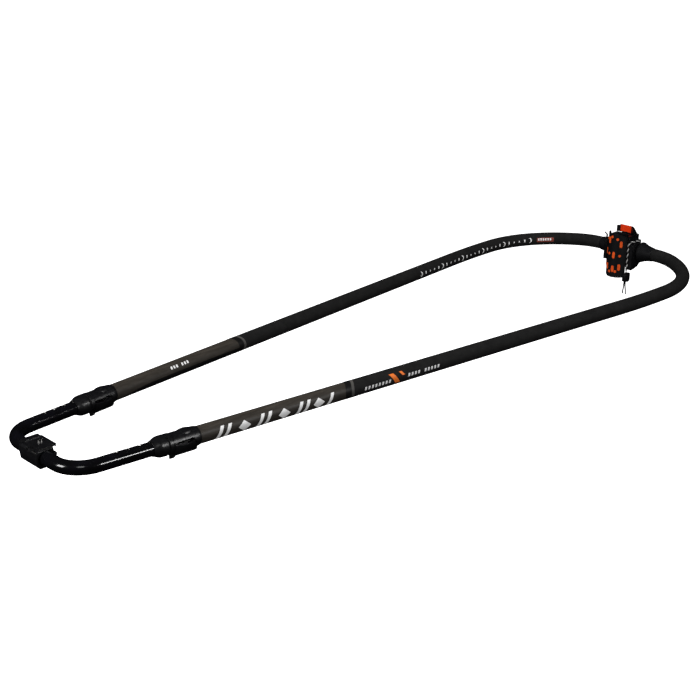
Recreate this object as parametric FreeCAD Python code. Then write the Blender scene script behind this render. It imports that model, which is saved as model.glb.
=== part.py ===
# Windsurf wishbone boom, closed to its shortest length.
# Frame: origin on the mast axis in the plane of the tubes, +Z up along the mast, tail towards -X,
# left arm at +Y, right arm at -Y. Millimetres.
import FreeCAD, Part
import math, os
from FreeCAD import Vector as V

os.makedirs("parts", exist_ok=True)

# ---------------- driving dimensions ----------------
mast_r = 21.5            # mast clamp bore radius (43 mm mast)
front_x = 40.504           # front tube centre-line ahead of the mast axis
tail_x = -1583.0         # tail tube centre-line
arm_angle = 0.1121837864 # divergence of each straight leg from the axis, rad
tail_run = 49.39         # straight part of the tail tube, from the middle to the bend
tail_bend_r = 49.417
leg_end_x = 1241.974     # where the straight leg ends, measured from the tail
bend1_r, bend1_a = 1607.3018, 0.0973482
bend2_r, bend2_a = 243.2905, 1.0283001
bend3_r = 101.4818
tube_r, tube_wall = 14.0, 1.4      # front tube, 28 mm outside
ext_r, ext_wall = 11.7, 1.5        # extension tube
ext_len = 912.0                    # straight length of an extension leg
grip_r = 15.2
sleeve_r = 15.0
clamp_s0, clamp_s1 = 90.7, 174.2   # clamp, measured along the leg from the tail bend
front_tube_s = 163.0
grip_s = 479.0
hole_s0, hole_pitch, hole_n, hole_r = 30.0, 20.0, 31, 3.5
cuff_y0, cuff_y1 = 37.5, 72.0
belt_r = 25.0
belt_z0, belt_z1 = -57.0, 50.0
line_r = 2.0             # belt line
end_r = 1.5              # free line ends
tail_gap = 5.0           # half the gap between the two tail tube halves

Z = V(0, 0, 1)

# ---------------- centre-line of the right half ----------------
def segments():
    a = arm_angle
    segs = [("L", tail_run), ("A", tail_bend_r, math.pi / 2 - a)]
    x_leg = tail_run * 0 + tail_bend_r * (1 - math.sin(a))
    L3 = (leg_end_x - x_leg) / math.cos(a)
    segs.append(("L", L3))
    segs += [("A", bend1_r, bend1_a), ("A", bend2_r, bend2_a)]
    rem = math.pi / 2 - (-a + bend1_a + bend2_a)
    segs.append(("A", bend3_r, rem))
    return segs

def place(segs):
    # the list of (kind, start point, heading, length, radius, centre)
    P = V(tail_x, 0, 0)
    th = -math.pi / 2
    out = []
    for s in segs:
        if s[0] == "L":
            out.append(("L", P, th, s[1], None, None))
            P = P + V(math.cos(th), math.sin(th), 0) * s[1]
        else:
            R, ang = s[1], s[2]
            c = P + V(-math.sin(th), math.cos(th), 0) * R
            out.append(("A", P, th, R * ang, R, c))
            th += ang
            P = c + V(math.sin(th), -math.cos(th), 0) * R
    out.append(("L", P, th, -P.y, None, None))
    return out

CL = place(segments())
TOTAL = sum(s[3] for s in CL)
LEG0 = CL[0][3] + CL[1][3]          # arc length where the straight leg starts
LEG_P = CL[2][1]

def point(s):
    for k, P, th, L, R, c in CL:
        if s <= L + 1e-9:
            if k == "L":
                return P + V(math.cos(th), math.sin(th), 0) * s, th
            t = th + s / R
            return c + V(math.sin(t), -math.cos(t), 0) * R, t
        s -= L
    raise ValueError(s)

def path(sa, sb):
    edges = []
    a = 0.0
    for k, P, th, L, R, c in CL:
        lo, hi = max(sa, a), min(sb, a + L)
        if hi - lo > 1e-6:
            p0, _ = point(lo)
            p1, _ = point(hi)
            if k == "L":
                edges.append(Part.makeLine(p0, p1))
            else:
                pm, _ = point((lo + hi) / 2)
                edges.append(Part.Arc(p0, pm, p1).toShape())
        a += L
    return Part.Wire(edges)

def ring_face(p, th, ro, ri=None):
    d = V(math.cos(th), math.sin(th), 0)
    w = Part.Wire([Part.makeCircle(ro, p, d)])
    if ri is None:
        return Part.Face(w)
    f = Part.Face(w).cut(Part.Face(Part.Wire([Part.makeCircle(ri, p, d)])))
    return f.Faces[0]

def pipe(sa, sb, ro, ri=None):
    p, th = point(sa)
    w = path(sa, sb)
    o = w.makePipe(Part.Face(Part.Wire([Part.makeCircle(ro, p, V(math.cos(th), math.sin(th), 0))])))
    if ri:
        i = w.makePipe(Part.Face(Part.Wire([Part.makeCircle(ri, p, V(math.cos(th), math.sin(th), 0))])))
        o = o.cut(i)
    s = solid(o)
    sec = math.pi * (ro * ro - (ri or 0) ** 2)
    print("pipe %.1f..%.1f volume ratio %.4f" % (sa, sb, s.Volume / (sec * w.Length)))
    return s

def solid(sh):
    ss = sh.Solids
    if len(ss) == 1:
        return ss[0]
    return Part.makeCompound(ss)

LEG_PL = FreeCAD.Placement(LEG_P, FreeCAD.Rotation(Z, math.degrees(-arm_angle)))

def on_leg(sh):
    # leg frame: +X towards the mast along the right leg, -Y outboard
    s = sh.copy()
    s.Placement = LEG_PL.multiply(s.Placement)
    return s

def revolve(profile):
    # closed profile of (x, r) turned about the X axis
    pts = [V(x, 0, r) for x, r in profile]
    f = Part.Face(Part.makePolygon(pts + [pts[0]]))
    return f.revolve(V(0, 0, 0), V(1, 0, 0), 360)

def extrude_xz(pts, y0, y1):
    p = [V(x, y0, z) for x, z in pts]
    return Part.Face(Part.makePolygon(p + [p[0]])).extrude(V(0, y1 - y0, 0))

def extrude_xy(pts, z0, z1):
    p = [V(x, y, z0) for x, y in pts]
    return Part.Face(Part.makePolygon(p + [p[0]])).extrude(V(0, 0, z1 - z0))

def box(x0, x1, y0, y1, z0, z1):
    return Part.makeBox(x1 - x0, y1 - y0, z1 - z0, V(x0, y0, z0))

def zcyl(x, y, r, z0, z1):
    return Part.makeCylinder(r, z1 - z0, V(x, y, z0), Z)

def ycyl(x, z, r, y0, y1):
    return Part.makeCylinder(r, y1 - y0, V(x, y0, z), V(0, 1, 0))

def fillet(sh, r, pick):
    es = [e for e in sh.Edges if pick(e)]
    for rr in (r, r * 0.6, r * 0.3):
        try:
            f = sh.makeFillet(rr, es)
            if f.isValid() and f.Volume > 0:
                return f
        except Exception:
            pass
    print("fillet skipped", r)
    return sh

def sector(a0, a1, R, z0, z1):
    # wedge of azimuths a0..a1 degrees about the mast axis
    n = 12
    pts = [(0, 0)] + [(R * math.cos(math.radians(a0 + (a1 - a0) * i / n)),
                       R * math.sin(math.radians(a0 + (a1 - a0) * i / n))) for i in range(n + 1)]
    return extrude_xy(pts, z0, z1)

def annulus(r0, r1, z0, z1):
    return zcyl(0, 0, r1, z0, z1).cut(zcyl(0, 0, r0, z0 - 1, z1 + 1))

parts = {}

# ---------------- arms ----------------
right = {}
right["front_tube"] = pipe(LEG0 + front_tube_s, TOTAL - 1.0, tube_r, tube_r - tube_wall)
_, _th = point(TOTAL)
right["grip"] = pipe(LEG0 + grip_s + 0.2, TOTAL - cuff_y1 - 0.5, grip_r, tube_r)
right["printed_sleeve"] = on_leg(revolve([(clamp_s1 + 0.2, tube_r), (clamp_s1 + 0.2, sleeve_r),
                                          (grip_s, sleeve_r), (grip_s, tube_r)]))
# cuff where the tube leaves the head (axis along Y at the front tube)
def cuff(side):
    y0, y1 = cuff_y0, cuff_y1
    prof = [(y0, tube_r), (y0, 23.6), (y0 + 1, 24.2), (y0 + 4, 24.4), (y0 + 8.5, 22.4), (y0 + 14.5, 19.9), (y0 + 22.5, 18.0), (y0 + 31, 16.6), (y1 - 0.6, 16.0), (y1, 15.4), (y1, tube_r)]
    pts = [V(front_x + r, side * y, 0) for y, r in prof]
    f = Part.Face(Part.makePolygon(pts + [pts[0]]))
    return f.revolve(V(front_x, 0, 0), V(0, 1, 0), 360)
right["cuff"] = solid(cuff(-1))

# clamp, in the leg frame
collar = revolve([(90.7, 12.05), (90.7, 12.9), (93.5, 13.8), (99.5, 16.6), (102.5, 17.4), (112.0, 17.8),
                  (114.4, 17.4), (115.6, 16.6), (115.6, 12.05)])
right["clamp_collar"] = on_leg(solid(collar))
body = revolve([(116.0, 12.05), (116.0, 16.6), (117.2, 17.5), (122.8, 17.5), (124.0, 16.8), (166.0, 16.9), (170.5, 16.5),
                (174.0, 15.5), (174.2, 14.0), (162.7, 14.0), (162.7, 12.05)])
# hump over the locking hole
m = FreeCAD.Matrix(); m.scale(1.35, 0.8, 0.62)
hump = Part.makeSphere(13.0).transformGeometry(m)
hump.translate(V(151.0, 0, 11.4))
hump = hump.common(box(120, 172, -15, 15, 12.3, 40)).cut(Part.makeCylinder(14.05, 30, V(162.6, 0, 0), V(1, 0, 0)))
hump = hump.cut(Part.makeCylinder(12.05, 80, V(100, 0, 0), V(1, 0, 0)))
body = body.fuse(hump)
hinge_s, hinge_z = 125.5, -19.6
# the lever closes the lower half; a long window stays open between it and the upper half
gap = [(124.0, -40.0), (124.0, 5.0), (142.0, 5.6), (158.0, 6.8), (160.4, 5.4), (163.9, -4.0), (166.4, -12.0), (167.1, -19.0), (167.1, -40.0)]
body = body.cut(extrude_xz(gap, -30, 30))
for y0, y1 in ((5.3, 8.3), (-8.3, -5.3)):
    lug = box(118.5, 124.0, y0, y1, hinge_z - 3.1, -13.0).fuse(ycyl(hinge_s, hinge_z, 3.1, y0, y1))
    lug = lug.fuse(box(118.5, hinge_s, y0, y1, hinge_z - 3.1, -16.6))
    lug = lug.cut(Part.makeCylinder(13.0, 60, V(100, 0, 0), V(1, 0, 0)))
    body = body.fuse(lug)
body = body.cut(ycyl(hinge_s, hinge_z, 3.4, -5.3, 5.3)).cut(ycyl(hinge_s, hinge_z, 1.6, -14, 14))
lock_s = 150.0
right["clamp_body"] = on_leg(solid(body.removeSplitter()))
right["clamp_pin"] = on_leg(ycyl(hinge_s, hinge_z, 1.6, -8.3, 8.3))
# lever under the clamp, hinged at its tail end
prof = [(124.4, 3.0), (128.0, 1.6), (133.0, 0.2), (141.0, -0.9), (146.0, -0.9), (151.0, -0.2), (156.0, 1.7), (158.8, 3.2),
        (161.3, -1.0), (163.2, -4.8), (165.4, -12.0), (166.3, -17.6), (164.8, -19.1), (155.0, -20.6), (145.0, -22.0),
        (134.0, -22.4), (130.0, -21.8), (127.4, -20.0), (124.4, -16.4)]
m = FreeCAD.Matrix(); m.scale(1.0, 1.0, 22.6 / 17.3)
oval = Part.makeCylinder(17.3, 80, V(110, 0, 0), V(1, 0, 0)).transformGeometry(m)
lever = extrude_xz(prof, -20.0, 20.0).common(oval)
lever = lever.cut(Part.makeCylinder(12.4, 90, V(100, 0, 0), V(1, 0, 0)))
lever = lever.cut(Part.makeCylinder(14.4, 20, V(157.5, 0, 0), V(1, 0, 0)))
for y0, y1 in ((4.9, 8.7), (-8.7, -4.9)):
    lever = lever.cut(ycyl(hinge_s, hinge_z, 4.3, y0, y1))
neck = ycyl(hinge_s, hinge_z, 2.9, -4.9, 4.9).cut(Part.makeCylinder(12.4, 90, V(100, 0, 0), V(1, 0, 0)))
lever = lever.fuse(neck).cut(ycyl(hinge_s, hinge_z, 1.66, -18, 18))
lever = lever.cut(zcyl(lock_s, 0, 2.5, -16.0, -11.0))
lever = solid(lever.removeSplitter())
right["clamp_lever"] = on_leg(lever)
right["lock_pin"] = on_leg(zcyl(lock_s, 0, 2.5, -16.0, -12.2))

# extension tube with its row of adjustment holes, and its inner end bushing
ext = pipe(tail_gap, LEG0 + ext_len, ext_r, ext_r - ext_wall)
drill = [on_leg(zcyl(hole_s0 + hole_pitch * i, 0, hole_r, -20, 20)) for i in range(hole_n)]
right["extension_tube"] = solid(ext.cut(Part.makeCompound(drill)))
bush = revolve([(884.0, ext_r), (884.0, 12.2), (886.0, 12.4), (912.0, 12.4), (915.0, 12.0), (915.0, 7.0), (912.0, 7.0), (912.0, ext_r)])
right["end_bushing"] = on_leg(solid(bush))

for k, s in right.items():
    parts["right_" + k] = s
    parts["left_" + k] = s.mirror(V(0, 0, 0), V(0, 1, 0))

# ---------------- tail fitting (fixed to the left half, loose on the right half) ----------------
def T(sh):
    s = sh.copy(); s.translate(V(tail_x, 0, 0)); return s
blk_prof = [(-13.5, 13.5), (-16.2, 10.5), (-16.8, 0), (-15.6, -11.0), (-12.0, -15.2), (9.0, -15.2), (13.5, -10.0), (13.5, 13.5)]
block = extrude_xz(blk_prof, -24.5, 26.0)
shoulder = [(-8.0, 15.6), (-11.5, 12.4), (-11.5, 6.0), (12.5, 4.0), (20.0, 4.0), (22.5, 10.0), (21.0, 15.6)]   # low saddle over the tube
block = block.fuse(extrude_xz(shoulder, 24.0, 33.5))
block = block.fuse(box(12, 21, -21, 24.5, -2.5, 2.5))
block = block.cut(box(11.9, 23, -19, 19, 2.5, 14))
block = block.cut(ycyl(0, 0, ext_r, tail_gap - 2.5, 42))               # holds the left half
slot = ycyl(-2.0, 0, ext_r + 0.35, -30, tail_gap - 2.5).fuse(ycyl(2.0, 0, ext_r + 0.35, -30, tail_gap - 2.5)) \
    .fuse(box(-2.0, 2.0, -30, tail_gap - 2.5, -ext_r - 0.35, ext_r + 0.35))
block = block.cut(slot)
# long line slot across the upper tail edge, with one pin in it
ls = box(-2.9, 2.9, -17.5, 3.5, -3.0, 8.0).fuse(zcyl(0, -17.5, 2.9, -3.0, 8.0)).fuse(zcyl(0, 3.5, 2.9, -3.0, 8.0))
ls.rotate(V(0, 0, 0), V(0, 1, 0), -52)
ls.translate(V(-15.6, 0, 12.0))
block = block.cut(ls.cut(ycyl(0, 0, 13.4, -40, 40)))
sheave_xy = ((16.3, 12.0), (16.3, -12.0))
for x, y in sheave_xy:
    block = block.cut(zcyl(x, y, 1.8, -4, 4))
screw_xy = (8.6, 4.5)
block = block.cut(zcyl(screw_xy[0], screw_xy[1], 1.6, 9.3, 16))
pin_x, pin_z = -13.6, 10.6
line_pin = ycyl(pin_x, pin_z, 1.7, -23.5, -8.5)
block = block.cut(line_pin)
parts["tail_block"] = T(solid(block.removeSplitter()))
parts["line_pin"] = T(line_pin)
pl_prof = [(-10.5, 13.5), (-10.5, 15.2), (-9.0, 16.4), (4.0, 16.1), (12.0, 16.3), (19.0, 16.9), (22.2, 16.2), (24.4, 13.8), (24.6, 11.6),
           (23.2, 10.4), (20.9, 11.2), (20.4, 13.5)]
plate = extrude_xz(pl_prof, -21.2, 22.8)
plate = plate.common(extrude_xy([(-11, -21.2), (16, -21.2), (19.6, -20.2), (22.6, -17.6), (24.3, -13.6), (24.8, -9), (24.8, 17.5),
                                 (23.6, 21.0), (20.6, 22.8), (-11, 22.8)], 5, 25))
plate = plate.fuse(box(-9.5, 18.0, 18.8, 22.4, 15.9, 17.6))            # raised rib on the left edge
for x, y in sheave_xy:
    plate = plate.cut(zcyl(x, y, 1.8, 12, 15.2))
plate = plate.cut(zcyl(screw_xy[0], screw_xy[1], 1.6, 12, 20)).cut(zcyl(screw_xy[0], screw_xy[1], 4.3, 16.0, 20))
parts["tail_plate"] = T(solid(plate.removeSplitter()))
head = zcyl(screw_xy[0], screw_xy[1], 4.3, 16.0, 18.2).cut(box(0, 16, screw_xy[1] - 0.6, screw_xy[1] + 0.6, 17.4, 19))
parts["tail_screw"] = T(solid(head.fuse(zcyl(screw_xy[0], screw_xy[1], 1.6, 9.3, 16.2)).removeSplitter()))
parts["sheave_pins"] = T(Part.makeCompound([zcyl(x, y, 1.8, -2.5, 15.2) for x, y in sheave_xy]))
def sheave(x, y):
    pts = [(1.86, 3.0), (4.2, 3.0), (4.2, 4.4), (3.1, 6.2), (3.1, 9.6), (4.2, 11.4), (4.2, 12.8), (1.86, 12.8)]
    p = [V(r, 0, z) for r, z in pts]
    s = Part.Face(Part.makePolygon(p + [p[0]])).revolve(V(0, 0, 0), Z, 360)
    s.translate(V(x, y, 0))
    return T(solid(s))
parts["left_sheave"] = sheave(*sheave_xy[0])
parts["right_sheave"] = sheave(*sheave_xy[1])

# ---------------- head ----------------
main = extrude_xz([(-3, 42), (-3, -38), (13, -40), (27, -34), (43, -24), (55, -15), (60, -7), (61, 2), (61, 12), (57, 24), (45, 30), (27, 42)], -25, 25)
main = fillet(main, 2.5, lambda e: abs(e.BoundBox.YLength) < 1e-3 and e.BoundBox.XMin > 1)
wide = extrude_xz([(2.5, 22), (2.5, -37), (7, -40), (17, -39), (33, -35), (42, -28), (49, -27), (55, -19), (58.6, -9), (59.3, 0), (57.5, 9), (51, 16),
                   (42, 19.8), (27, 23)], -36, 36)
wide = fillet(wide, 2.0, lambda e: abs(e.BoundBox.YLength) < 1e-3)
house = main.fuse(wide)
hx, hy = 0.0, 34.5                                  # belt hinge axis
kn = None
for z0, z1 in ((12.0, 26.0), (-22.0, -8.0)):
    k = zcyl(hx, hy, 5.0, z0, z1).fuse(extrude_xy([(0, 30.0), (9, 30.0), (9, 35.8), (0, 39.4)], z0, z1))
    kn = k if kn is None else kn.fuse(k)
house = house.cut(zcyl(0, 0, mast_r + 2.0, -60, 60))
house = house.cut(zcyl(0, 0, belt_r + 1.2, -60, 60).common(box(-40, 1.0, -40, 40, -60, 60)))
house = house.cut(box(-10, 7.0, 25.0, 45, -60, 60))  # room for the hinge
house = house.fuse(kn)
house = house.cut(zcyl(hx, hy, 2.0, -40, 40))
house = house.cut(zcyl(hx, hy, 5.7, -8.0, 12.0))
house = house.cut(ycyl(front_x, 0, tube_r + 1.6, -50, 50))   # tunnel for the front tubes
# ears for the head lever
lev_x, lev_z = 47.0, 36.0
house = house.cut(box(37.5, 70, -15.9, 15.9, 29.6, 60))
for y0, y1 in ((16.0, 21.0), (-21.0, -16.0)):
    ear = ycyl(lev_x, lev_z, 5.2, y0, y1).fuse(box(41.8, 52.2, y0, y1, 22, lev_z))
    house = house.fuse(ear)
house = house.cut(ycyl(lev_x, lev_z, 5.9, -15.9, 15.9))
house = house.cut(ycyl(lev_x, lev_z, 2.0, -30, 30))
house = house.cut(ycyl(front_x, 0, tube_r + 1.6, -50, 50))
house = house.cut(zcyl(0, 0, mast_r + 2.0, -60, 60))
scr = [(50.0, -30.0), (32.0, -30.5), (50.0, 30.0), (32.0, 30.5)]
scr_z = {50.0: 14.5, 32.0: 18.4}
for x, y in scr:
    house = house.cut(zcyl(x, y, 2.6, scr_z[x], 40)).cut(zcyl(x, y, 1.5, scr_z[x] - 1.2, 40))
parts["head_housing"] = solid(house.removeSplitter())
screws = []
for x, y in scr:
    s = zcyl(x, y, 2.5, scr_z[x], scr_z[x] + 1.6).cut(box(x - 0.4, x + 0.4, y - 4, y + 4, scr_z[x] + 0.8, 40))
    screws.append(solid(s.fuse(zcyl(x, y, 1.5, scr_z[x] - 1.2, scr_z[x] + 0.2)).removeSplitter()))
parts["head_screws"] = Part.makeCompound(screws)
parts["saddle_liner"] = solid(annulus(mast_r, mast_r + 2.0, -38, 41).common(sector(-70, 70, 60, -40, 42)))
# hinge pin with a short bent grip at its top
hp = zcyl(hx, hy, 2.0, -22.0, 37.0).fuse(Part.makeSphere(2.0, V(hx, hy, 37.0)))
hd = V(-1.4, 6.2, 5.4); hl = hd.Length
hp = hp.fuse(Part.makeCylinder(1.5, hl, V(hx, hy, 37.0), hd))
parts["belt_hinge_pin"] = solid(hp.removeSplitter())

# rear half of the mast clamp
belt = annulus(mast_r, belt_r, belt_z0, belt_z1).common(sector(99, 264, 60, -80, 80))
belt = fillet(belt, 1.0, lambda e: e.BoundBox.ZLength < 1e-3 and e.BoundBox.XMin < -belt_r + 0.5)
# rounded lower left corner and a top edge that falls towards the free edge
yz_cuts = [[(4, -60), (4, -57), (12, -55.8), (18, -53), (22, -48.5), (24.4, -42), (30, -40), (30, -60)],
           [(-8, 52), (-8, 50), (-17, 46.5), (-24, 40), (-32, 36), (-32, 52)]]
for pl in yz_cuts:
    p = [V(-40, y, z) for y, z in pl]
    belt = belt.cut(Part.Face(Part.makePolygon(p + [p[0]])).extrude(V(42, 0, 0)))
arm = extrude_xy([(0.0, 29.9), (-4.6, 36.0), (-14.5, 25.0), (-9.0, 20.0)], -7.6, 11.6)
belt = belt.fuse(zcyl(hx, hy, 5.0, -7.6, 11.6).fuse(arm).cut(zcyl(0, 0, mast_r + 0.5, -60, 60)))
belt = belt.cut(zcyl(hx, hy, 2.06, -30, 30))
lx, ly = -0.7, -27.2                                # line down the free edge
def pad(az, z, w, h):
    # rounded slot on the belt, raised a little
    a = math.radians(az)
    r = w / 2
    hh = max(h / 2 - r, 0)
    c = Part.makeCylinder(r, 12, V(18, 0, hh), V(1, 0, 0))
    if hh > 0:
        c = c.fuse(Part.makeCylinder(r, 12, V(18, 0, -hh), V(1, 0, 0))).fuse(box(18, 30, -r, r, -hh, hh))
    c.rotate(V(0, 0, 0), Z, az)
    c.translate(V(0, 0, z))
    return solid(c.common(annulus(belt_r - 1.2, belt_r + 0.8, z - 20, z + 20)).removeSplitter())
bars = [(225, 25.4), (188.5, -1.7), (222.5, -31), (188, -35.5), (157, 33), (150, -31.5), (131, 4), (116, -28)]
dots = [(204.5, 37.5), (222, -2.8), (160, 0.5), (172.5, 42), (204, -41.5), (170, -43), (140, 36), (134, -30)]
pads = [pad(a, z, 6.4, 15.6) for a, z in bars] + [pad(a, z, 6.2, 6.2) for a, z in dots]
padc = Part.makeCompound(pads)
for p in pads:
    belt = belt.cut(p)
parts["belt_pads"] = padc

# line down the free edge of the belt, then forward to its cleat
def route(points, r, bend=0.45, rad=None):
    # straight runs joined by tangent arcs
    edges, cur = [], V(*points[0])
    P = [V(*p) for p in points]
    for i in range(1, len(P) - 1):
        a, b, c = P[i - 1], P[i], P[i + 1]
        u, w = (b - a), (c - b)
        short = min(u.Length, w.Length)
        u.normalize(); w.normalize()
        turn = u.getAngle(w)
        if turn < 1e-4:
            continue
        R = rad if rad else bend * short / math.tan(turn / 2)
        t = R * math.tan(turn / 2)
        p0, p1 = b - u * t, b + w * t
        bis = (w - u); bis.normalize()
        cen = b + bis * (R / math.cos(turn / 2))
        pm = cen - bis * R
        if (p0 - cur).Length > 1e-6:
            edges.append(Part.makeLine(cur, p0))
        edges.append(Part.Arc(p0, pm, p1).toShape())
        print("route radius %.1f turn %.1f deg" % (R, math.degrees(turn)))
        cur = p1
    edges.append(Part.makeLine(cur, P[-1]))
    w = Part.Wire(edges)
    d = P[1] - P[0]; d.normalize()
    s = w.makePipe(Part.Face(Part.Wire([Part.makeCircle(r, P[0], d)])))
    s = solid(s)
    print("route length %.2f volume ratio %.4f" % (w.Length, s.Volume / (math.pi * r * r * w.Length)))
    return s
line = route([(lx, ly, belt_z0), (lx, ly, 28.6), (26.6, -38.6, 30.2)], line_r, rad=10.0)
belt = belt.cut(line)
parts["mast_belt"] = solid(belt.removeSplitter())
parts["belt_line"] = line
tab = extrude_xy([(-9.5, -23.0), (-10.0, -29.0), (-8.0, -32.6), (-2.0, -35.2), (4.5, -35.6), (7.0, -32.0), (4.0, -26.0), (-2.0, -23.0)], -67.0, -45.5)
tz = [(-12, -55.5), (-9.8, -64.0), (-8.4, -66.0), (0.8, -66.0), (4.0, -63.0), (7.2, -54.0), (7.2, -45.5), (-5.0, -45.5), (-8.5, -50.0)]
tab = tab.common(extrude_xz(tz, -40, -20)).cut(zcyl(0, 0, belt_r + 0.02, -70, -40)).cut(line)
tab = sorted(tab.Solids, key=lambda q: -q.Volume)[0]
parts["line_tab"] = tab
# two free ends of the line, hanging under the tab
ex, ez = -6.2, -66.0
end_a = [(ex, -27.6, ez), (ex, -27.5, ez - 12.0), (ex - 0.3, -26.6, ez - 21.0), (ex - 0.2, -25.9, ez - 30.4)]
end_b = [(ex, -31.0, ez), (ex, -31.2, ez - 9.0), (ex + 0.2, -33.0, ez - 20.0), (ex + 0.2, -34.2, ez - 31.0)]
parts["line_end_rear"] = route(end_a, end_r)
parts["line_end_front"] = route(end_b, end_r)
# cleat for the line on the right of the housing
cleat = extrude_xy([(27.4, -35.0), (27.4, -40.6), (29.0, -41.6), (32.6, -40.2), (33.2, -35.0)], 22.0, 33.0)
cleat = cleat.fuse(box(27.4, 33.2, -36.0, -24.9, 22.0, 33.0)).fuse(box(24.0, 36.0, -36.0, -24.9, 21.0, 25.0))
cleat = cleat.cut(parts["head_housing"]).cut(parts["head_screws"]).cut(zcyl(32.0, -30.5, 2.7, 10, 26.0))
cleat = cleat.cut(line).cut(ycyl(front_x, 0, 25.4, -80, -36.3))
cs = sorted(cleat.Solids, key=lambda q: -q.Volume)
parts["line_cleat"] = cs[0]

# tensioning lever on top, its rear face hollowed round the mast
lev = extrude_xz([(21.0, 43.4), (21.0, 61.6), (22.0, 62.5), (29.0, 61.2), (37.0, 56.6), (44.0, 49.0), (50.5, 41.5), (52.0, 37.6), (51.0, 33.0), (47.0, 31.0), (43.4, 31.8),
                  (41.0, 36.4), (34.0, 43.4)], -15.6, 15.6)
lev = lev.fuse(extrude_xz([(18.0, 44.2), (18.0, 57.6), (20.0, 59.4), (28.0, 58.6), (30.5, 55.5), (30.5, 44.2)], -21.5, 21.5))
lev = lev.cut(zcyl(0, 0, 28.5, 30, 90)).cut(ycyl(lev_x, lev_z, 2.06, -40, 40))
ins = annulus(28.5, 33.5, 44.9, 70).common(box(5, 40, -14.4, 14.4, 40, 70)).common(lev)
lev = lev.cut(ins)
parts["head_lever"] = solid(lev.removeSplitter())
parts["lever_insert"] = solid(ins.removeSplitter())
parts["head_lever_pin"] = ycyl(lev_x, lev_z, 2.0, -21.0, 21.0)

# ---------------- export ----------------
for k in sorted(parts):
    s = parts[k]
    if not s.isValid():
        print("INVALID", k)
    if s.ShapeType == "Compound" and len(s.Solids) == 1:
        s = s.Solids[0]
    bb = s.BoundBox
    print("%-22s solids %d faces %d vol %.1f box %.1f %.1f %.1f .. %.1f %.1f %.1f" % (
        k, len(s.Solids), len(s.Faces), s.Volume, bb.XMin, bb.YMin, bb.ZMin, bb.XMax, bb.YMax, bb.ZMax))
    s.exportStep("parts/%s.step" % k)
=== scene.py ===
import bpy, bmesh, math, random
from mathutils import Vector, Matrix


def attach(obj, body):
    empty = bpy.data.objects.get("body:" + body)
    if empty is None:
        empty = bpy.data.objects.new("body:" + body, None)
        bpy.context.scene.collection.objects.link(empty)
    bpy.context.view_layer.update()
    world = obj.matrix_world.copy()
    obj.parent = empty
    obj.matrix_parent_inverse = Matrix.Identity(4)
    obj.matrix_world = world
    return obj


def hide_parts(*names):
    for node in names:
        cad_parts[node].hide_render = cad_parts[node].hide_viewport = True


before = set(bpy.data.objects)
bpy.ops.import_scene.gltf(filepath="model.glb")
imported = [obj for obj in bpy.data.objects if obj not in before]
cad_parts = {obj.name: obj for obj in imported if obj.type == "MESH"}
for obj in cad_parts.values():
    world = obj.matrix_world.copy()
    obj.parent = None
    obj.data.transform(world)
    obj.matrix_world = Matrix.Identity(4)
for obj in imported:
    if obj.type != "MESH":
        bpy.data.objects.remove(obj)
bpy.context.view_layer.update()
scene = bpy.context.scene
random.seed(7)
MM = 0.001

# ------------------------------------------------------------------ camera
cam_data = bpy.data.cameras.new("camera")
cam_data.sensor_width = 36.0
cam_data.lens = 62.62
cam_data.clip_end = 60
cam = bpy.data.objects.new("camera", cam_data)
scene.collection.objects.link(cam)
fw = Vector((0.65869765, 0.66041233, -0.36051762))
rt = Vector((0.71009706, -0.70406194, 0.00767806))
up = Vector((0.24875604, 0.26106002, 0.9327208))
cam.matrix_world = Matrix(((rt.x, up.x, -fw.x, -2.43811), (rt.y, up.y, -fw.y, -1.53686), (rt.z, up.z, -fw.z, 0.82862), (0, 0, 0, 1)))
scene.camera = cam
scene.view_settings.view_transform = "Standard"

# ------------------------------------------------------------------ node helpers
def new_mat(name):
    m = bpy.data.materials.new(name)
    m.use_nodes = True
    nt = m.node_tree
    bsdf = next(n for n in nt.nodes if n.type == "BSDF_PRINCIPLED")
    return m, nt, bsdf

def N(nt, kind, **kw):
    n = nt.nodes.new(kind)
    for k, v in kw.items():
        if k.startswith("i_"):
            n.inputs[k[2:].replace("_", " ")].default_value = v
        else:
            setattr(n, k, v)
    return n

def L(nt, a, b):
    nt.links.new(a, b)

def coords(nt, scale=(1, 1, 1)):
    tc = N(nt, "ShaderNodeTexCoord")
    mp = N(nt, "ShaderNodeMapping")
    mp.inputs["Scale"].default_value = scale
    L(nt, tc.outputs["Object"], mp.inputs["Vector"])
    return mp.outputs["Vector"]

def noise(nt, vec, scale, detail=4, rough=0.55):
    n = N(nt, "ShaderNodeTexNoise")
    n.inputs["Scale"].default_value = scale
    n.inputs["Detail"].default_value = detail
    n.inputs["Roughness"].default_value = rough
    L(nt, vec, n.inputs["Vector"])
    return n.outputs["Fac"]

def ramp(nt, fac, stops):
    r = N(nt, "ShaderNodeValToRGB")
    el = r.color_ramp.elements
    while len(el) > 1:
        el.remove(el[-1])
    el[0].position, el[0].color = stops[0][0], (*stops[0][1], 1)
    for p, c in stops[1:]:
        e = el.new(p)
        e.color = (*c, 1)
    L(nt, fac, r.inputs["Fac"])
    return r.outputs["Color"]

def bump(nt, height, strength, dist, prev=None):
    b = N(nt, "ShaderNodeBump")
    b.inputs["Strength"].default_value = strength
    b.inputs["Distance"].default_value = dist
    L(nt, height, b.inputs["Height"])
    if prev is not None:
        L(nt, prev, b.inputs["Normal"])
    return b.outputs["Normal"]

def grey(v):
    return (v, v, v)

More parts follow.
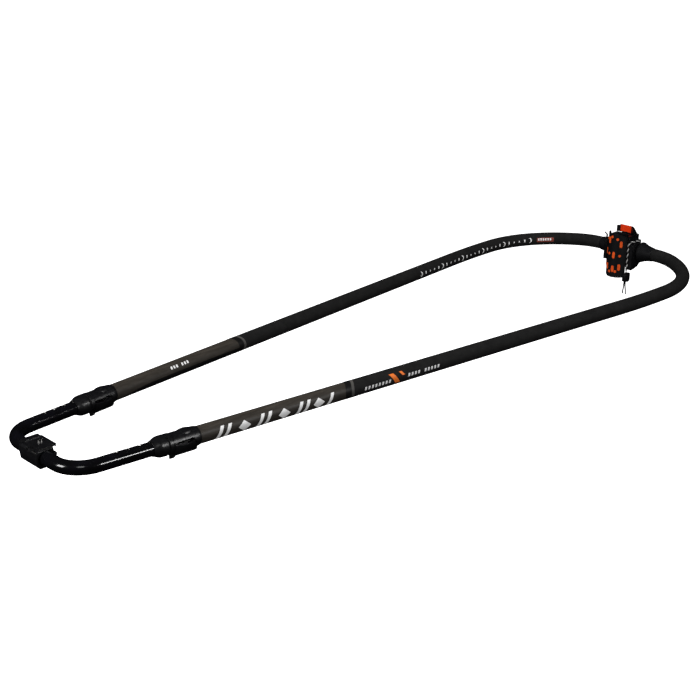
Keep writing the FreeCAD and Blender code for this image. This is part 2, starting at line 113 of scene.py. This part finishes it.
def simple(name, c0, c1, r0, r1, cscale, bscale, bstr, bdist, metallic=0.0, coat=0.0, coat_r=0.1, spec=0.5, fine=None, edge=None):
    # edge: radius in metres of the softened edges
    m, nt, b = new_mat(name)
    v = coords(nt)
    n1 = noise(nt, v, cscale, 5)
    L(nt, ramp(nt, n1, [(0.3, c0), (0.7, c1)]), b.inputs["Base Color"])
    n2 = noise(nt, v, cscale * 3.1, 3)
    L(nt, ramp(nt, n2, [(0.25, grey(r0)), (0.75, grey(r1))]), b.inputs["Roughness"])
    nb = noise(nt, v, bscale, 3, 0.6)
    soft = None
    if edge:
        bv = N(nt, "ShaderNodeBevel", samples=6)
        bv.inputs["Radius"].default_value = edge
        soft = bv.outputs["Normal"]
    nrm = bump(nt, nb, bstr, bdist, soft)
    if fine:
        vo = N(nt, "ShaderNodeTexVoronoi")
        vo.inputs["Scale"].default_value = fine[0]
        L(nt, v, vo.inputs["Vector"])
        nrm = bump(nt, vo.outputs["Distance"], fine[1], fine[2], nrm)
    L(nt, nrm, b.inputs["Normal"])
    b.inputs["Metallic"].default_value = metallic
    b.inputs["Coat Weight"].default_value = coat
    b.inputs["Coat Roughness"].default_value = coat_r
    b.inputs["Specular IOR Level"].default_value = spec
    return m

mat_tube = simple("gloss_black_tube", grey(0.0022), (0.0034, 0.0034, 0.0050), 0.10, 0.16, 30, 90, 0.03, 0.0004, coat=0.0, coat_r=0.06, spec=0.5)
mat_foam = simple("grip_foam", grey(0.0062), (0.0102, 0.0100, 0.0099), 0.72, 0.86, 55, 1500, 0.45, 0.00035, spec=0.14, fine=(1150, 0.35, 0.0003))
mat_mould = simple("black_moulding", (0.0030, 0.0030, 0.0036), (0.0055, 0.0055, 0.0064), 0.28, 0.40, 60, 1300, 0.28, 0.00025, spec=0.4, edge=0.0008)
mat_soft = simple("black_rubber", (0.0028, 0.0030, 0.0036), (0.0050, 0.0050, 0.0058), 0.50, 0.66, 70, 1700, 0.35, 0.00025, spec=0.16)
mat_orange = simple("orange_rubber", (0.56, 0.060, 0.005), (0.70, 0.088, 0.009), 0.38, 0.5, 90, 900, 0.2, 0.0002, spec=0.2)
mat_red = simple("orange_lever_face", (0.66, 0.030, 0.003), (0.80, 0.062, 0.006), 0.26, 0.36, 60, 700, 0.12, 0.0002, coat=0.0, spec=0.3)
mat_white = simple("white_print", grey(0.74), grey(0.82), 0.42, 0.55, 120, 1500, 0.15, 0.0001)
mat_orange_print = simple("orange_print", (0.72, 0.14, 0.010), (0.82, 0.18, 0.016), 0.45, 0.55, 120, 1500, 0.15, 0.0001, spec=0.2)
mat_stripe = simple("grey_band", (0.050, 0.048, 0.045), (0.066, 0.063, 0.059), 0.5, 0.62, 90, 1200, 0.2, 0.0001, spec=0.2)
mat_end = simple("black_cord", grey(0.0035), grey(0.0065), 0.7, 0.85, 300, 2500, 0.5, 0.0003, spec=0.12)

# brushed stainless
m, nt, b = new_mat("stainless")
v = coords(nt, (1, 1, 14))
n1 = noise(nt, v, 220, 4)
L(nt, ramp(nt, n1, [(0.3, (0.50, 0.50, 0.49)), (0.7, (0.68, 0.67, 0.65))]), b.inputs["Base Color"])
L(nt, ramp(nt, n1, [(0.3, grey(0.2)), (0.7, grey(0.34))]), b.inputs["Roughness"])
L(nt, bump(nt, n1, 0.1, 0.0001), b.inputs["Normal"])
b.inputs["Metallic"].default_value = 1.0
mat_steel = m

mat_dark_steel = simple("dark_steel", grey(0.030), grey(0.060), 0.30, 0.42, 200, 900, 0.1, 0.0001, metallic=1.0)

# raw metal rims of the adjustment holes
mat_rim = simple("bare_metal_rim", (0.48, 0.47, 0.46), (0.62, 0.61, 0.59), 0.25, 0.38, 200, 900, 0.1, 0.0001, metallic=1.0)

# printed wrap: grey-brown brushed print over a faint diagonal weave
m, nt, b = new_mat("printed_wrap")
v = coords(nt)
n1 = noise(nt, coords(nt, (0.25, 3, 3)), 90, 6, 0.6)
n2 = noise(nt, v, 26, 3)
c1 = ramp(nt, n1, [(0.25, (0.022, 0.0190, 0.0156)), (0.5, (0.032, 0.0275, 0.0228)), (0.75, (0.044, 0.0378, 0.0312))])
mx = N(nt, "ShaderNodeMix", data_type="RGBA", blend_type="MULTIPLY")
mx.inputs["Factor"].default_value = 0.6
L(nt, c1, mx.inputs["A"])
L(nt, ramp(nt, n2, [(0.3, grey(0.72)), (0.7, grey(1.0))]), mx.inputs["B"])
L(nt, mx.outputs["Result"], b.inputs["Base Color"])
w = N(nt, "ShaderNodeTexWave", wave_type="BANDS", bands_direction="DIAGONAL")
w.inputs["Scale"].default_value = 420
w.inputs["Distortion"].default_value = 1.5
L(nt, v, w.inputs["Vector"])
L(nt, ramp(nt, n1, [(0.3, grey(0.40)), (0.7, grey(0.54))]), b.inputs["Roughness"])
L(nt, bump(nt, w.outputs["Fac"], 0.12, 0.0001), b.inputs["Normal"])
b.inputs["Specular IOR Level"].default_value = 0.16
mat_wrap = m
mat_wrap_black = simple("wrap_black", grey(0.0045), grey(0.0075), 0.42, 0.55, 60, 900, 0.15, 0.0002, spec=0.14)

# light twisted line
mat_line = simple("light_line", (0.40, 0.40, 0.39), (0.58, 0.57, 0.55), 0.6, 0.75, 400, 2600, 0.6, 0.0003)

def set_mat(o, m):
    o.data.materials.clear()
    o.data.materials.append(m)

# ------------------------------------------------------------------ mesh helpers
def mesh_obj(name, verts, faces, mat, smooth=True):
    me = bpy.data.meshes.new(name)
    me.from_pydata([tuple(v) for v in verts], [], faces)
    me.validate()
    o = bpy.data.objects.new(name, me)
    scene.collection.objects.link(o)
    if smooth:
        for p in me.polygons:
            p.use_smooth = True
    if mat:
        me.materials.append(mat)
    return o

def fix_normals(o):
    bm = bmesh.new(); bm.from_mesh(o.data)
    bmesh.ops.remove_doubles(bm, verts=bm.verts, dist=1e-7)
    bmesh.ops.recalc_face_normals(bm, faces=bm.faces)
    bm.to_mesh(o.data); bm.free()

def apply_mods(o):
    bpy.context.view_layer.update()
    dg = bpy.context.evaluated_depsgraph_get()
    me = bpy.data.meshes.new_from_object(o.evaluated_get(dg))
    o.modifiers.clear()
    old = o.data
    o.data = me
    return o

def sharpen(o, deg=35):
    bm = bmesh.new(); bm.from_mesh(o.data)
    lim = math.radians(deg)
    for e in bm.edges:
        e.smooth = not (len(e.link_faces) == 2 and e.calc_face_angle(0) > lim)
    for f in bm.faces:
        f.smooth = True
    bm.to_mesh(o.data); bm.free()

# ------------------------------------------------------------------ centre-line of one half, in metres
A = 0.1121837864
SEG = [("L", 0.04939), ("A", 0.049417, math.pi / 2 - A)]
SEG.append(("L", (1.241974 - 0.049417 * (1 - math.sin(A))) / math.cos(A)))
SEG += [("A", 1.6073018, 0.0973482), ("A", 0.2432905, 1.0283001), ("A", 0.1014818, math.pi / 2 - (-A + 0.0973482 + 1.0283001))]

def build_cl():
    P = Vector((-1.583, 0, 0)); th = -math.pi / 2; out = []
    for s in SEG:
        if s[0] == "L":
            out.append(("L", P.copy(), th, s[1], 0, None))
            P = P + Vector((math.cos(th), math.sin(th), 0)) * s[1]
        else:
            R, a = s[1], s[2]
            c = P + Vector((-math.sin(th), math.cos(th), 0)) * R
            out.append(("A", P.copy(), th, R * a, R, c))
            th += a
            P = c + Vector((math.sin(th), -math.cos(th), 0)) * R
    out.append(("L", P.copy(), th, -P.y, 0, None))
    return out
CL = build_cl()
TOTAL = sum(s[3] for s in CL)
LEG0 = CL[0][3] + CL[1][3]

def cl(s, side):
    # point, tangent, outboard normal; side -1 is the right arm, +1 the left
    for k, P, th, Ln, R, c in CL:
        if s <= Ln + 1e-9 or (k, P) == (CL[-1][0], CL[-1][1]):
            if k == "L":
                p = P + Vector((math.cos(th), math.sin(th), 0)) * s; t = th
            else:
                t = th + s / R
                p = c + Vector((math.sin(t), -math.cos(t), 0)) * R
            break
        s -= Ln
    T = Vector((math.cos(t), math.sin(t), 0)); O = Vector((math.sin(t), -math.cos(t), 0))
    if side > 0:
        p = Vector((p.x, -p.y, 0)); T = Vector((T.x, -T.y, 0)); O = Vector((O.x, -O.y, 0))
    return p, T, O

def surf(s, phi, r, side):
    # phi from straight up towards outboard
    p, T, O = cl(s, side)
    return p + (Vector((0, 0, 1)) * math.cos(phi) + O * math.sin(phi)) * r

def tube_mesh(name, side, s0, s1, ro, ri, mat, ds=0.004, nphi=64, end0=None, end1=None):
    # ro, ri: numbers or functions of (s, phi); end0/end1: functions of phi giving an end offset in s
    f_o = ro if callable(ro) else (lambda s, p: ro)
    f_i = ri if callable(ri) else (lambda s, p: ri)
    e0 = end0 or (lambda p: 0.0)
    e1 = end1 or (lambda p: 0.0)
    n = max(2, int((s1 - s0) / ds))
    verts, faces = [], []
    for layer in (0, 1):
        for i in range(n + 1):
            t = i / n
            for j in range(nphi):
                ph = 2 * math.pi * j / nphi
                a, c = s0 + e0(ph), s1 + e1(ph)
                s = a + (c - a) * t
                r = (f_o if layer == 0 else f_i)(s, ph)
                verts.append(surf(s, ph, r, side))
    def vid(layer, i, j): return layer * (n + 1) * nphi + i * nphi + (j % nphi)
    for i in range(n):
        for j in range(nphi):
            faces.append((vid(0, i, j), vid(0, i + 1, j), vid(0, i + 1, j + 1), vid(0, i, j + 1)))
            faces.append((vid(1, i, j), vid(1, i, j + 1), vid(1, i + 1, j + 1), vid(1, i + 1, j)))
    for j in range(nphi):
        faces.append((vid(0, 0, j), vid(0, 0, j + 1), vid(1, 0, j + 1), vid(1, 0, j)))
        faces.append((vid(0, n, j), vid(1, n, j), vid(1, n, j + 1), vid(0, n, j + 1)))
    o = mesh_obj(name, verts, faces, mat)
    fix_normals(o)
    sharpen(o, 50)
    return o

def patch(name, side, poly, r, mat, thick=0.00012, step=0.0015):
    # a thin printed shape: poly is a list of (s, arc position in metres from straight up), laid on radius r
    bm = bmesh.new()
    vs = [bm.verts.new((a, c, 0)) for a, c in poly]
    f = bm.faces.new(vs)
    if f.normal.z < 0: f.normal_flip()
    amin = min(a for a, c in poly); amax = max(a for a, c in poly)
    cmin = min(c for a, c in poly); cmax = max(c for a, c in poly)
    k = cmin + step
    while k < cmax:
        bmesh.ops.bisect_plane(bm, geom=bm.verts[:] + bm.edges[:] + bm.faces[:], plane_co=(0, k, 0), plane_no=(0, 1, 0)); k += step
    k = amin + 0.01
    while k < amax:
        bmesh.ops.bisect_plane(bm, geom=bm.verts[:] + bm.edges[:] + bm.faces[:], plane_co=(k, 0, 0), plane_no=(1, 0, 0)); k += 0.01
    r0 = r
    top = {v: None for v in bm.verts}
    ret = bmesh.ops.extrude_face_region(bm, geom=bm.faces[:])
    newv = [g for g in ret["geom"] if isinstance(g, bmesh.types.BMVert)]
    for v in bm.verts:
        s, c = v.co.x, v.co.y
        rr = r + (thick if v in newv else -thick)
        v.co = surf(s, c / r, rr, side)
    me = bpy.data.meshes.new(name)
    bm.normal_update()
    bmesh.ops.recalc_face_normals(bm, faces=bm.faces[:])
    bm.to_mesh(me); bm.free()
    o = bpy.data.objects.new(name, me)
    scene.collection.objects.link(o)
    me.materials.append(mat)
    return o

def join(objs, name):
    bm = bmesh.new()
    for o in objs:
        me = o.data
        bm.from_mesh(me)
    me = bpy.data.meshes.new(name)
    bm.to_mesh(me); bm.free()
    mat = objs[0].data.materials[0]
    for o in objs:
        bpy.data.objects.remove(o)
    o = bpy.data.objects.new(name, me)
    scene.collection.objects.link(o)
    me.materials.append(mat)
    for p in me.polygons: p.use_smooth = False
    return o

def leg_s(x_fit):
    # arc length of a place on the straight leg that lies x metres from the tail
    return LEG0 + (x_fit - 0.049417 * (1 - math.sin(A))) / math.cos(A)

SIDES = (("right", -1), ("left", 1))

# ------------------------------------------------------------------ twisted line
mat_light = simple("light_strand", (0.26, 0.26, 0.255), (0.42, 0.415, 0.40), 0.6, 0.75, 500, 3000, 0.6, 0.0002, spec=0.2)
mat_dark = simple("dark_strand", grey(0.004), grey(0.008), 0.6, 0.75, 500, 3000, 0.6, 0.0002, spec=0.12)

def fillet_path(points, rad, step=0.0012):
    # points of the straight runs joined by arcs of one radius
    P = [Vector(p) for p in points]
    out = [P[0].copy()]
    for i in range(1, len(P) - 1):
        u = (P[i] - P[i - 1]).normalized(); w = (P[i + 1] - P[i]).normalized()
        turn = u.angle(w)
        tl = rad * math.tan(turn / 2)
        p0, p1 = P[i] - u * tl, P[i] + w * tl
        cen = P[i] + (w - u).normalized() * (rad / math.cos(turn / 2))
        out.append(p0)
        n = max(4, int(rad * turn / step))
        ax = u.cross(w).normalized()
        for k in range(1, n):
            out.append(cen + Matrix.Rotation(turn * k / n, 3, ax) @ (p0 - cen))
        out.append(p1)
    out.append(P[-1].copy())
    res = [out[0]]
    for q in out[1:]:
        d = (q - res[-1]).length
        m = max(1, int(d / step))
        a = res[-1].copy()
        for k in range(1, m + 1):
            res.append(a.lerp(q, k / m))
    return res

def sweep(name, centre, radius, mat, nseg=12, frames=None):
    # round tube through the points
    n = len(centre)
    tang = []
    for i in range(n):
        a = centre[max(i - 1, 0)]; b = centre[min(i + 1, n - 1)]
        tang.append((b - a).normalized())
    ref = Vector((1, 0, 0)) if abs(tang[0].x) < 0.9 else Vector((0, 1, 0))
    nrm = (ref - tang[0] * ref.dot(tang[0])).normalized()
    verts, faces = [], []
    for i in range(n):
        nrm = (nrm - tang[i] * nrm.dot(tang[i])).normalized()
        bi = tang[i].cross(nrm)
        for j in range(nseg):
            a = 2 * math.pi * j / nseg
            verts.append(centre[i] + (nrm * math.cos(a) + bi * math.sin(a)) * radius)
    for i in range(n - 1):
        for j in range(nseg):
            k = (j + 1) % nseg
            faces.append((i * nseg + j, i * nseg + k, (i + 1) * nseg + k, (i + 1) * nseg + j))
    faces.append(tuple(range(nseg))[::-1])
    faces.append(tuple((n - 1) * nseg + j for j in range(nseg)))
    o = mesh_obj(name, verts, faces, mat)
    fix_normals(o)
    sharpen(o, 60)
    return o

rope = fillet_path([(-0.0007, -0.0272, -0.057), (-0.0007, -0.0272, 0.0286), (0.0266, -0.0386, 0.0302)], 0.010)
PITCH = 0.0133
strands = []
for k, (nm, mt) in enumerate((("belt_line_light_strand", mat_light), ("belt_line_dark_strand", mat_dark))):
    pts = []
    nrm = Vector((-1, 0, 0))
    run = 0.0
    for i, c in enumerate(rope):
        a = rope[max(i - 1, 0)]; b = rope[min(i + 1, len(rope) - 1)]
        tg = (b - a).normalized()
        nrm = (nrm - tg * nrm.dot(tg)).normalized()
        bi = tg.cross(nrm)
        if i: run += (c - rope[i - 1]).length
        ph = 2 * math.pi * run / PITCH + math.pi * k
        pts.append(c + (nrm * math.cos(ph) + bi * math.sin(ph)) * 0.00085)
    o = sweep(nm, pts, 0.00115, mt)
    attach(o, "belt")
    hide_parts("belt_line")
    strands.append(o)

# ------------------------------------------------------------------ the two free line ends
ENDS = {
    "line_end_rear": [(-0.0062, -0.0276, -0.066), (-0.0062, -0.0275, -0.078), (-0.0065, -0.0266, -0.087), (-0.0064, -0.0259, -0.0964)],
    "line_end_front": [(-0.0062, -0.0310, -0.066), (-0.0062, -0.0312, -0.075), (-0.0060, -0.0330, -0.086), (-0.0060, -0.0342, -0.0970)],
}
for nm, pts in ENDS.items():
    P = [Vector(p) for p in pts]
    ctrl = []
    for i in range(len(P) - 1):
        m = 3 if i else 4
        for k in range(m):
            ctrl.append(P[i].lerp(P[i + 1], k / m))
    ctrl.append(P[-1])
    cu = bpy.data.curves.new(nm + "_cord", "CURVE")
    cu.dimensions = "3D"
    sp = cu.splines.new("NURBS")
    sp.points.add(len(ctrl) - 1)
    for q, c in zip(sp.points, ctrl):
        q.co = (c.x, c.y, c.z, 1)
    sp.order_u = 3
    sp.use_endpoint_u = True
    sp.resolution_u = 6
    cu.bevel_depth = 0.0015
    cu.bevel_resolution = 5
    cu.use_fill_caps = True
    o = bpy.data.objects.new(nm + "_cord", cu)
    scene.collection.objects.link(o)
    cu.materials.append(mat_end)
    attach(o, "belt")
    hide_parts(nm)

# ------------------------------------------------------------------ grips, bands and printed marks
PI = math.pi
for sname, sd in SIDES:
    body = sname + "_arm"
    g0, g1 = LEG0 + 0.4792, TOTAL - 0.0725
    # the ends of these wraps are cut on a slant: forward on the inner side, back on the outer side
    off = -0.0072 if sd < 0 else -0.0100
    slant = lambda ph, off=off: off + 0.0070 * math.cos(ph + math.radians(90))
    def rg(s, ph, g1=g1):
        # small lead-in at the head end
        d = g1 - s
        return 0.0152 if d > 0.004 else 0.0152 - 0.0005 * (1 - d / 0.004)
    o = tube_mesh(sname + "_foam_grip", sd, g0, g1, rg, 0.01405, mat_foam, ds=0.004, nphi=56, end0=slant)
    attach(o, body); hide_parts(sname + "_grip")
    o = tube_mesh(sname + "_grip_end_band", sd, g0, g0 + 0.0125, 0.01532, 0.0150, mat_wrap_black, ds=0.002, nphi=56, end0=slant, end1=slant)
    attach(o, body)
    o = tube_mesh(sname + "_grip_grey_stripe", sd, g0 + 0.0127, g0 + 0.0185, 0.01530, 0.0150, mat_stripe, ds=0.002, nphi=56, end0=slant, end1=slant)
    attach(o, body)
    # black panel along the lower inner side of the printed sleeve
    up = [(0.1748, -142), (0.190, -126), (0.212, -108), (0.240, -95), (0.300, -90), (0.400, -91), (0.4789, -95)]
    lo = [(0.4789, -205), (0.1748, -205)]
    poly = [(LEG0 + s, math.radians(a) * 0.015) for s, a in up + lo]
    o = patch(sname + "_sleeve_black_panel", sd, poly, 0.0150, mat_wrap_black)
    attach(o, body)

def marks(name, side, r, mat, polys):
    objs = [patch("%s_%d" % (name, i), side, [(LEG0 + s, math.radians(a) * r) for s, a in pl], r, mat) for i, pl in enumerate(polys)]
    o = join(objs, name)
    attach(o, "right_arm" if side < 0 else "left_arm")
    return o

def bar(s, w, a0, a1, lean=0.0):
    return [(s - w / 2 + lean, a0), (s + w / 2 + lean, a0), (s + w / 2 - lean, a1), (s - w / 2 - lean, a1)]

# plain white bars and lozenges on the right sleeve
pl = []
for s in (0.209, 0.224, 0.288, 0.303, 0.367, 0.382, 0.432):
    pl.append(bar(s, 0.0066, 50, 138, 0.006))
for s in (0.256, 0.335, 0.407):
    pl.append([(s - 0.012, 94), (s, 56), (s + 0.012, 94), (s, 132)])
marks("right_sleeve_pattern", -1, 0.0150, mat_white, pl)
# small white ticks and an orange double slash on the right grip
pl = [bar(0.509 + 0.0078 * i, 0.0040, 80, 102, 0.0006) for i in range(8)]
pl += [bar(0.609 + 0.0078 * i, 0.0040, 74, 96, 0.0006) for i in range(4)]
pl += [bar(0.648 + 0.0078 * i, 0.0040, 74, 96, 0.0006) for i in range(5)]
marks("right_grip_ticks", -1, 0.0152, mat_white, pl)
marks("right_grip_slashes", -1, 0.0152, mat_orange_print, [bar(0.576, 0.0105, 44, 118, -0.007), bar(0.5935, 0.0060, 44, 74, -0.003)])
# small white ticks on the left sleeve
marks("left_sleeve_ticks", 1, 0.0150, mat_white, [bar(0.304 + 0.0066 * i, 0.0036, -62, -41, 0.0) for i in range(7) if i != 3])
# ruler on the left grip: long, middle and short ticks
pl = []
P0, DP = 1.068, 0.0826
for k in range(6):
    s = P0 + DP * k
    # long tick, a slim crescent
    pl.append([(s - 0.0035, -62), (s + 0.0000, -62), (s + 0.0032, -73), (s + 0.0036, -84), (s + 0.0032, -95), (s + 0.0000, -106),
               (s - 0.0035, -106), (s + 0.0002, -95), (s + 0.0008, -84), (s + 0.0002, -73)])
    if k < 5:
        for j, (h, w) in enumerate(((12, 0.0034), (7, 0.0030), (7, 0.0030), (12, 0.0034)), start=1):
            pl.append(bar(s + DP * j / 5, w, -84 - h, -84 + h))
marks("left_grip_ruler", 1, 0.0152, mat_white, pl)
marks("left_grip_red_patch", 1, 0.0152, simple("dull_red_print", (0.16, 0.022, 0.010), (0.22, 0.030, 0.014), 0.5, 0.6, 90, 900, 0.1, 0.0001), [bar(1.5225, 0.046, -106, -66)])
marks("left_grip_patch_ticks", 1, 0.01532, mat_white, [bar(1.5045 + 0.0064 * i, 0.0036, -92, -72) for i in range(6)])

# bright rims of the adjustment holes
for sname, sd in SIDES:
    verts, faces = [], []
    M = 24
    for i in range(31):
        s0 = LEG0 + 0.030 + 0.020 * i
        for base in (0.0, PI):
            start = len(verts)
            for rho, r in ((0.0041, 0.01172), (0.0038, 0.01184), (0.0035, 0.01179), (0.0033, 0.0108)):
                for j in range(M):
                    a = 2 * PI * j / M
                    verts.append(surf(s0 + rho * math.cos(a), base + rho * math.sin(a) / 0.0117, r, sd))
            for q in range(3):
                for j in range(M):
                    k = (j + 1) % M
                    faces.append((start + q * M + j, start + q * M + k, start + (q + 1) * M + k, start + (q + 1) * M + j))
    o = mesh_obj(sname + "_hole_rims", verts, faces, mat_rim)
    fix_normals(o)
    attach(o, sname + "_extension")


# ------------------------------------------------------------------ materials of the CAD pieces that show
node_mat = {
    "front_tube": mat_tube, "extension_tube": mat_tube, "end_bushing": mat_mould, "cuff": mat_soft,
    "clamp_collar": mat_mould, "clamp_body": mat_mould, "clamp_lever": mat_mould, "clamp_pin": mat_steel, "lock_pin": mat_steel,
    "grip": mat_foam, "printed_sleeve": mat_wrap, "sheave": mat_mould,
    "head_housing": mat_mould, "saddle_liner": mat_soft, "mast_belt": mat_soft, "belt_pads": mat_orange, "belt_line": mat_line,
    "line_tab": mat_mould, "line_end_front": mat_end, "line_end_rear": mat_end, "line_cleat": mat_mould, "head_lever": mat_mould,
    "lever_insert": mat_red, "head_lever_pin": mat_dark_steel, "belt_hinge_pin": mat_dark_steel, "head_screws": mat_steel,
    "tail_block": mat_mould, "tail_plate": mat_mould, "tail_screw": mat_steel, "sheave_pins": mat_steel, "line_pin": mat_steel,
}
for n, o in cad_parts.items():
    key = n.replace("left_", "").replace("right_", "")
    set_mat(o, node_mat[key])
    o.data.set_sharp_from_angle(angle=math.radians(32))

# ------------------------------------------------------------------ stage
floor_me = bpy.data.meshes.new("floor")
floor_me.from_pydata([(-30, -30, -0.9), (40, -30, -0.9), (40, 40, -0.9), (-30, 40, -0.9)], [], [(0, 1, 2, 3)])
floor = bpy.data.objects.new("floor", floor_me)
scene.collection.objects.link(floor)
m, nt, b = new_mat("pale_floor")
n1 = noise(nt, coords(nt), 2.0, 3)
L(nt, ramp(nt, n1, [(0.3, grey(0.93)), (0.7, grey(0.95))]), b.inputs["Base Color"])
b.inputs["Roughness"].default_value = 0.9
b.inputs["Emission Color"].default_value = (1, 1, 1, 1)
b.inputs["Emission Strength"].default_value = 1.05
floor_me.materials.append(m)
floor.visible_diffuse = False
floor.visible_glossy = False

world = bpy.data.worlds.new("world")
scene.world = world
world.use_nodes = True
bg = next(n for n in world.node_tree.nodes if n.type == "BACKGROUND")
bg.inputs["Color"].default_value = (1, 1, 1, 1)
bg.inputs["Strength"].default_value = 0.36
if hasattr(world, "cycles_visibility"):
    world.cycles_visibility.glossy = False

def area(name, loc, target, size, power, sy=None):
    d = bpy.data.lights.new(name, "AREA")
    d.energy = power
    d.shape = "RECTANGLE" if sy else "SQUARE"
    d.size = size
    if sy: d.size_y = sy
    o = bpy.data.objects.new(name, d)
    scene.collection.objects.link(o)
    o.location = loc
    o.rotation_euler = (Vector(target) - Vector(loc)).to_track_quat("-Z", "Y").to_euler()
    return o
top = area("top", (-0.8, -0.4, 2.6), (-0.8, 0, 0), 2.4, 82)
top.visible_glossy = False
strip = area("strip", (-0.25, -2.6, 1.12), (-0.9, 0, 0), 1.5, 46, 0.17)
strip.visible_diffuse = False
area("tail_box", (-3.4, 0.35, 0.85), (-1.58, -0.06, 0), 0.7, 26)
fill = area("fill", (-2.6, 2.2, 1.4), (-0.8, 0, 0), 1.6, 24)
fill.visible_glossy = False
# small soft box behind the camera for the mouldings
area("camera_side_box", (-3.2, -1.9, 1.9), (-1.2, -0.1, 0), 0.9, 9)
